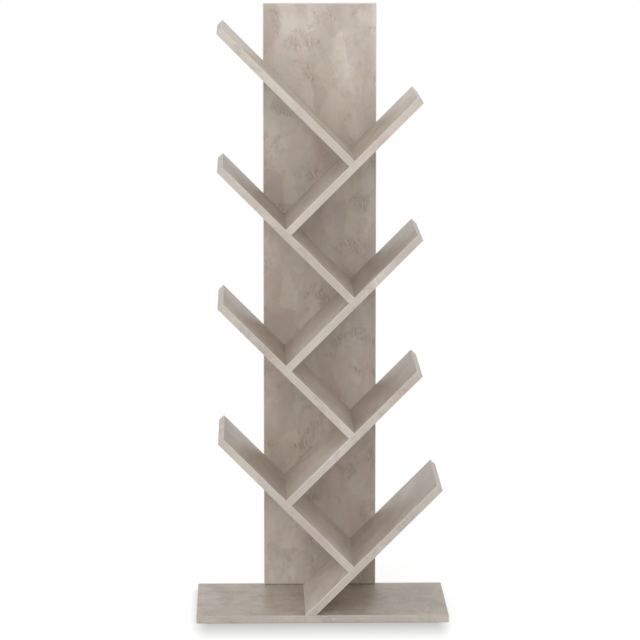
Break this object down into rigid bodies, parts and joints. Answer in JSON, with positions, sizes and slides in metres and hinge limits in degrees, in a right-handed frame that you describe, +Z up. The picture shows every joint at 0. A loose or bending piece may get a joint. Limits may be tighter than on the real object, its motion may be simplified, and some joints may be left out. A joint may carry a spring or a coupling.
{
  "type": "tree bookshelf",
  "caption": "Free-standing tree shaped bookshelf: slanted shelves branch left and right up one narrow back panel that stands on a flat base plate, so books lean in the forks.",
  "frame": {"origin": "on the floor, under the middle of the base plate", "axes": "+Z up, +X to the right as seen from the front, +Y to the rear, where the back panel stands"},
  "size_m": [0.4, 0.24, 0.967],
  "materials": {
    "stone_grey_melamine": "satin-matt melamine paper with a mottled plaster decor, on chipboard",
    "stone_grey_edging": "matt printed edge strip in the same decor",
    "zinc_plated_steel": "bright zinc plating",
    "beech": "plain turned beech"
  },
  "bodies": {
    "root": {"back_panel": "stone_grey_melamine", "back_panel_left_edging": "stone_grey_edging", "back_panel_right_edging": "stone_grey_edging", "back_panel_top_edging": "stone_grey_edging", "base_dowels": "beech", "base_front_edging": "stone_grey_edging", "base_left_edging": "stone_grey_edging", "base_plate": "stone_grey_melamine", "base_rear_edging": "stone_grey_edging", "base_right_edging": "stone_grey_edging", "base_screws": "zinc_plated_steel", "foot_shelf": "stone_grey_melamine", "foot_shelf_front_edging": "stone_grey_edging", "foot_shelf_rear_edging": "stone_grey_edging", "foot_shelf_tip_edging": "stone_grey_edging", "left_shelf_1": "stone_grey_melamine", "left_shelf_1_front_edging": "stone_grey_edging", "left_shelf_1_rear_edging": "stone_grey_edging", "left_shelf_1_tip_edging": "stone_grey_edging", "left_shelf_2": "stone_grey_melamine", "left_shelf_2_front_edging": "stone_grey_edging", "left_shelf_2_rear_edging": "stone_grey_edging", "left_shelf_2_tip_edging": "stone_grey_edging", "left_shelf_3": "stone_grey_melamine", "left_shelf_3_front_edging": "stone_grey_edging", "left_shelf_3_rear_edging": "stone_grey_edging", "left_shelf_3_tip_edging": "stone_grey_edging", "left_shelf_4": "stone_grey_melamine", "left_shelf_4_front_edging": "stone_grey_edging", "left_shelf_4_rear_edging": "stone_grey_edging", "left_shelf_4_tip_edging": "stone_grey_edging", "right_shelf_1": "stone_grey_melamine", "right_shelf_1_front_edging": "stone_grey_edging", "right_shelf_1_rear_edging": "stone_grey_edging", "right_shelf_1_tip_edging": "stone_grey_edging", "right_shelf_2": "stone_grey_melamine", "right_shelf_2_front_edging": "stone_grey_edging", "right_shelf_2_rear_edging": "stone_grey_edging", "right_shelf_2_tip_edging": "stone_grey_edging", "right_shelf_3": "stone_grey_melamine", "right_shelf_3_front_edging": "stone_grey_edging", "right_shelf_3_rear_edging": "stone_grey_edging", "right_shelf_3_tip_edging": "stone_grey_edging", "shelf_dowels": "beech", "shelf_screws": "zinc_plated_steel"}
  },
  "joints": []
}
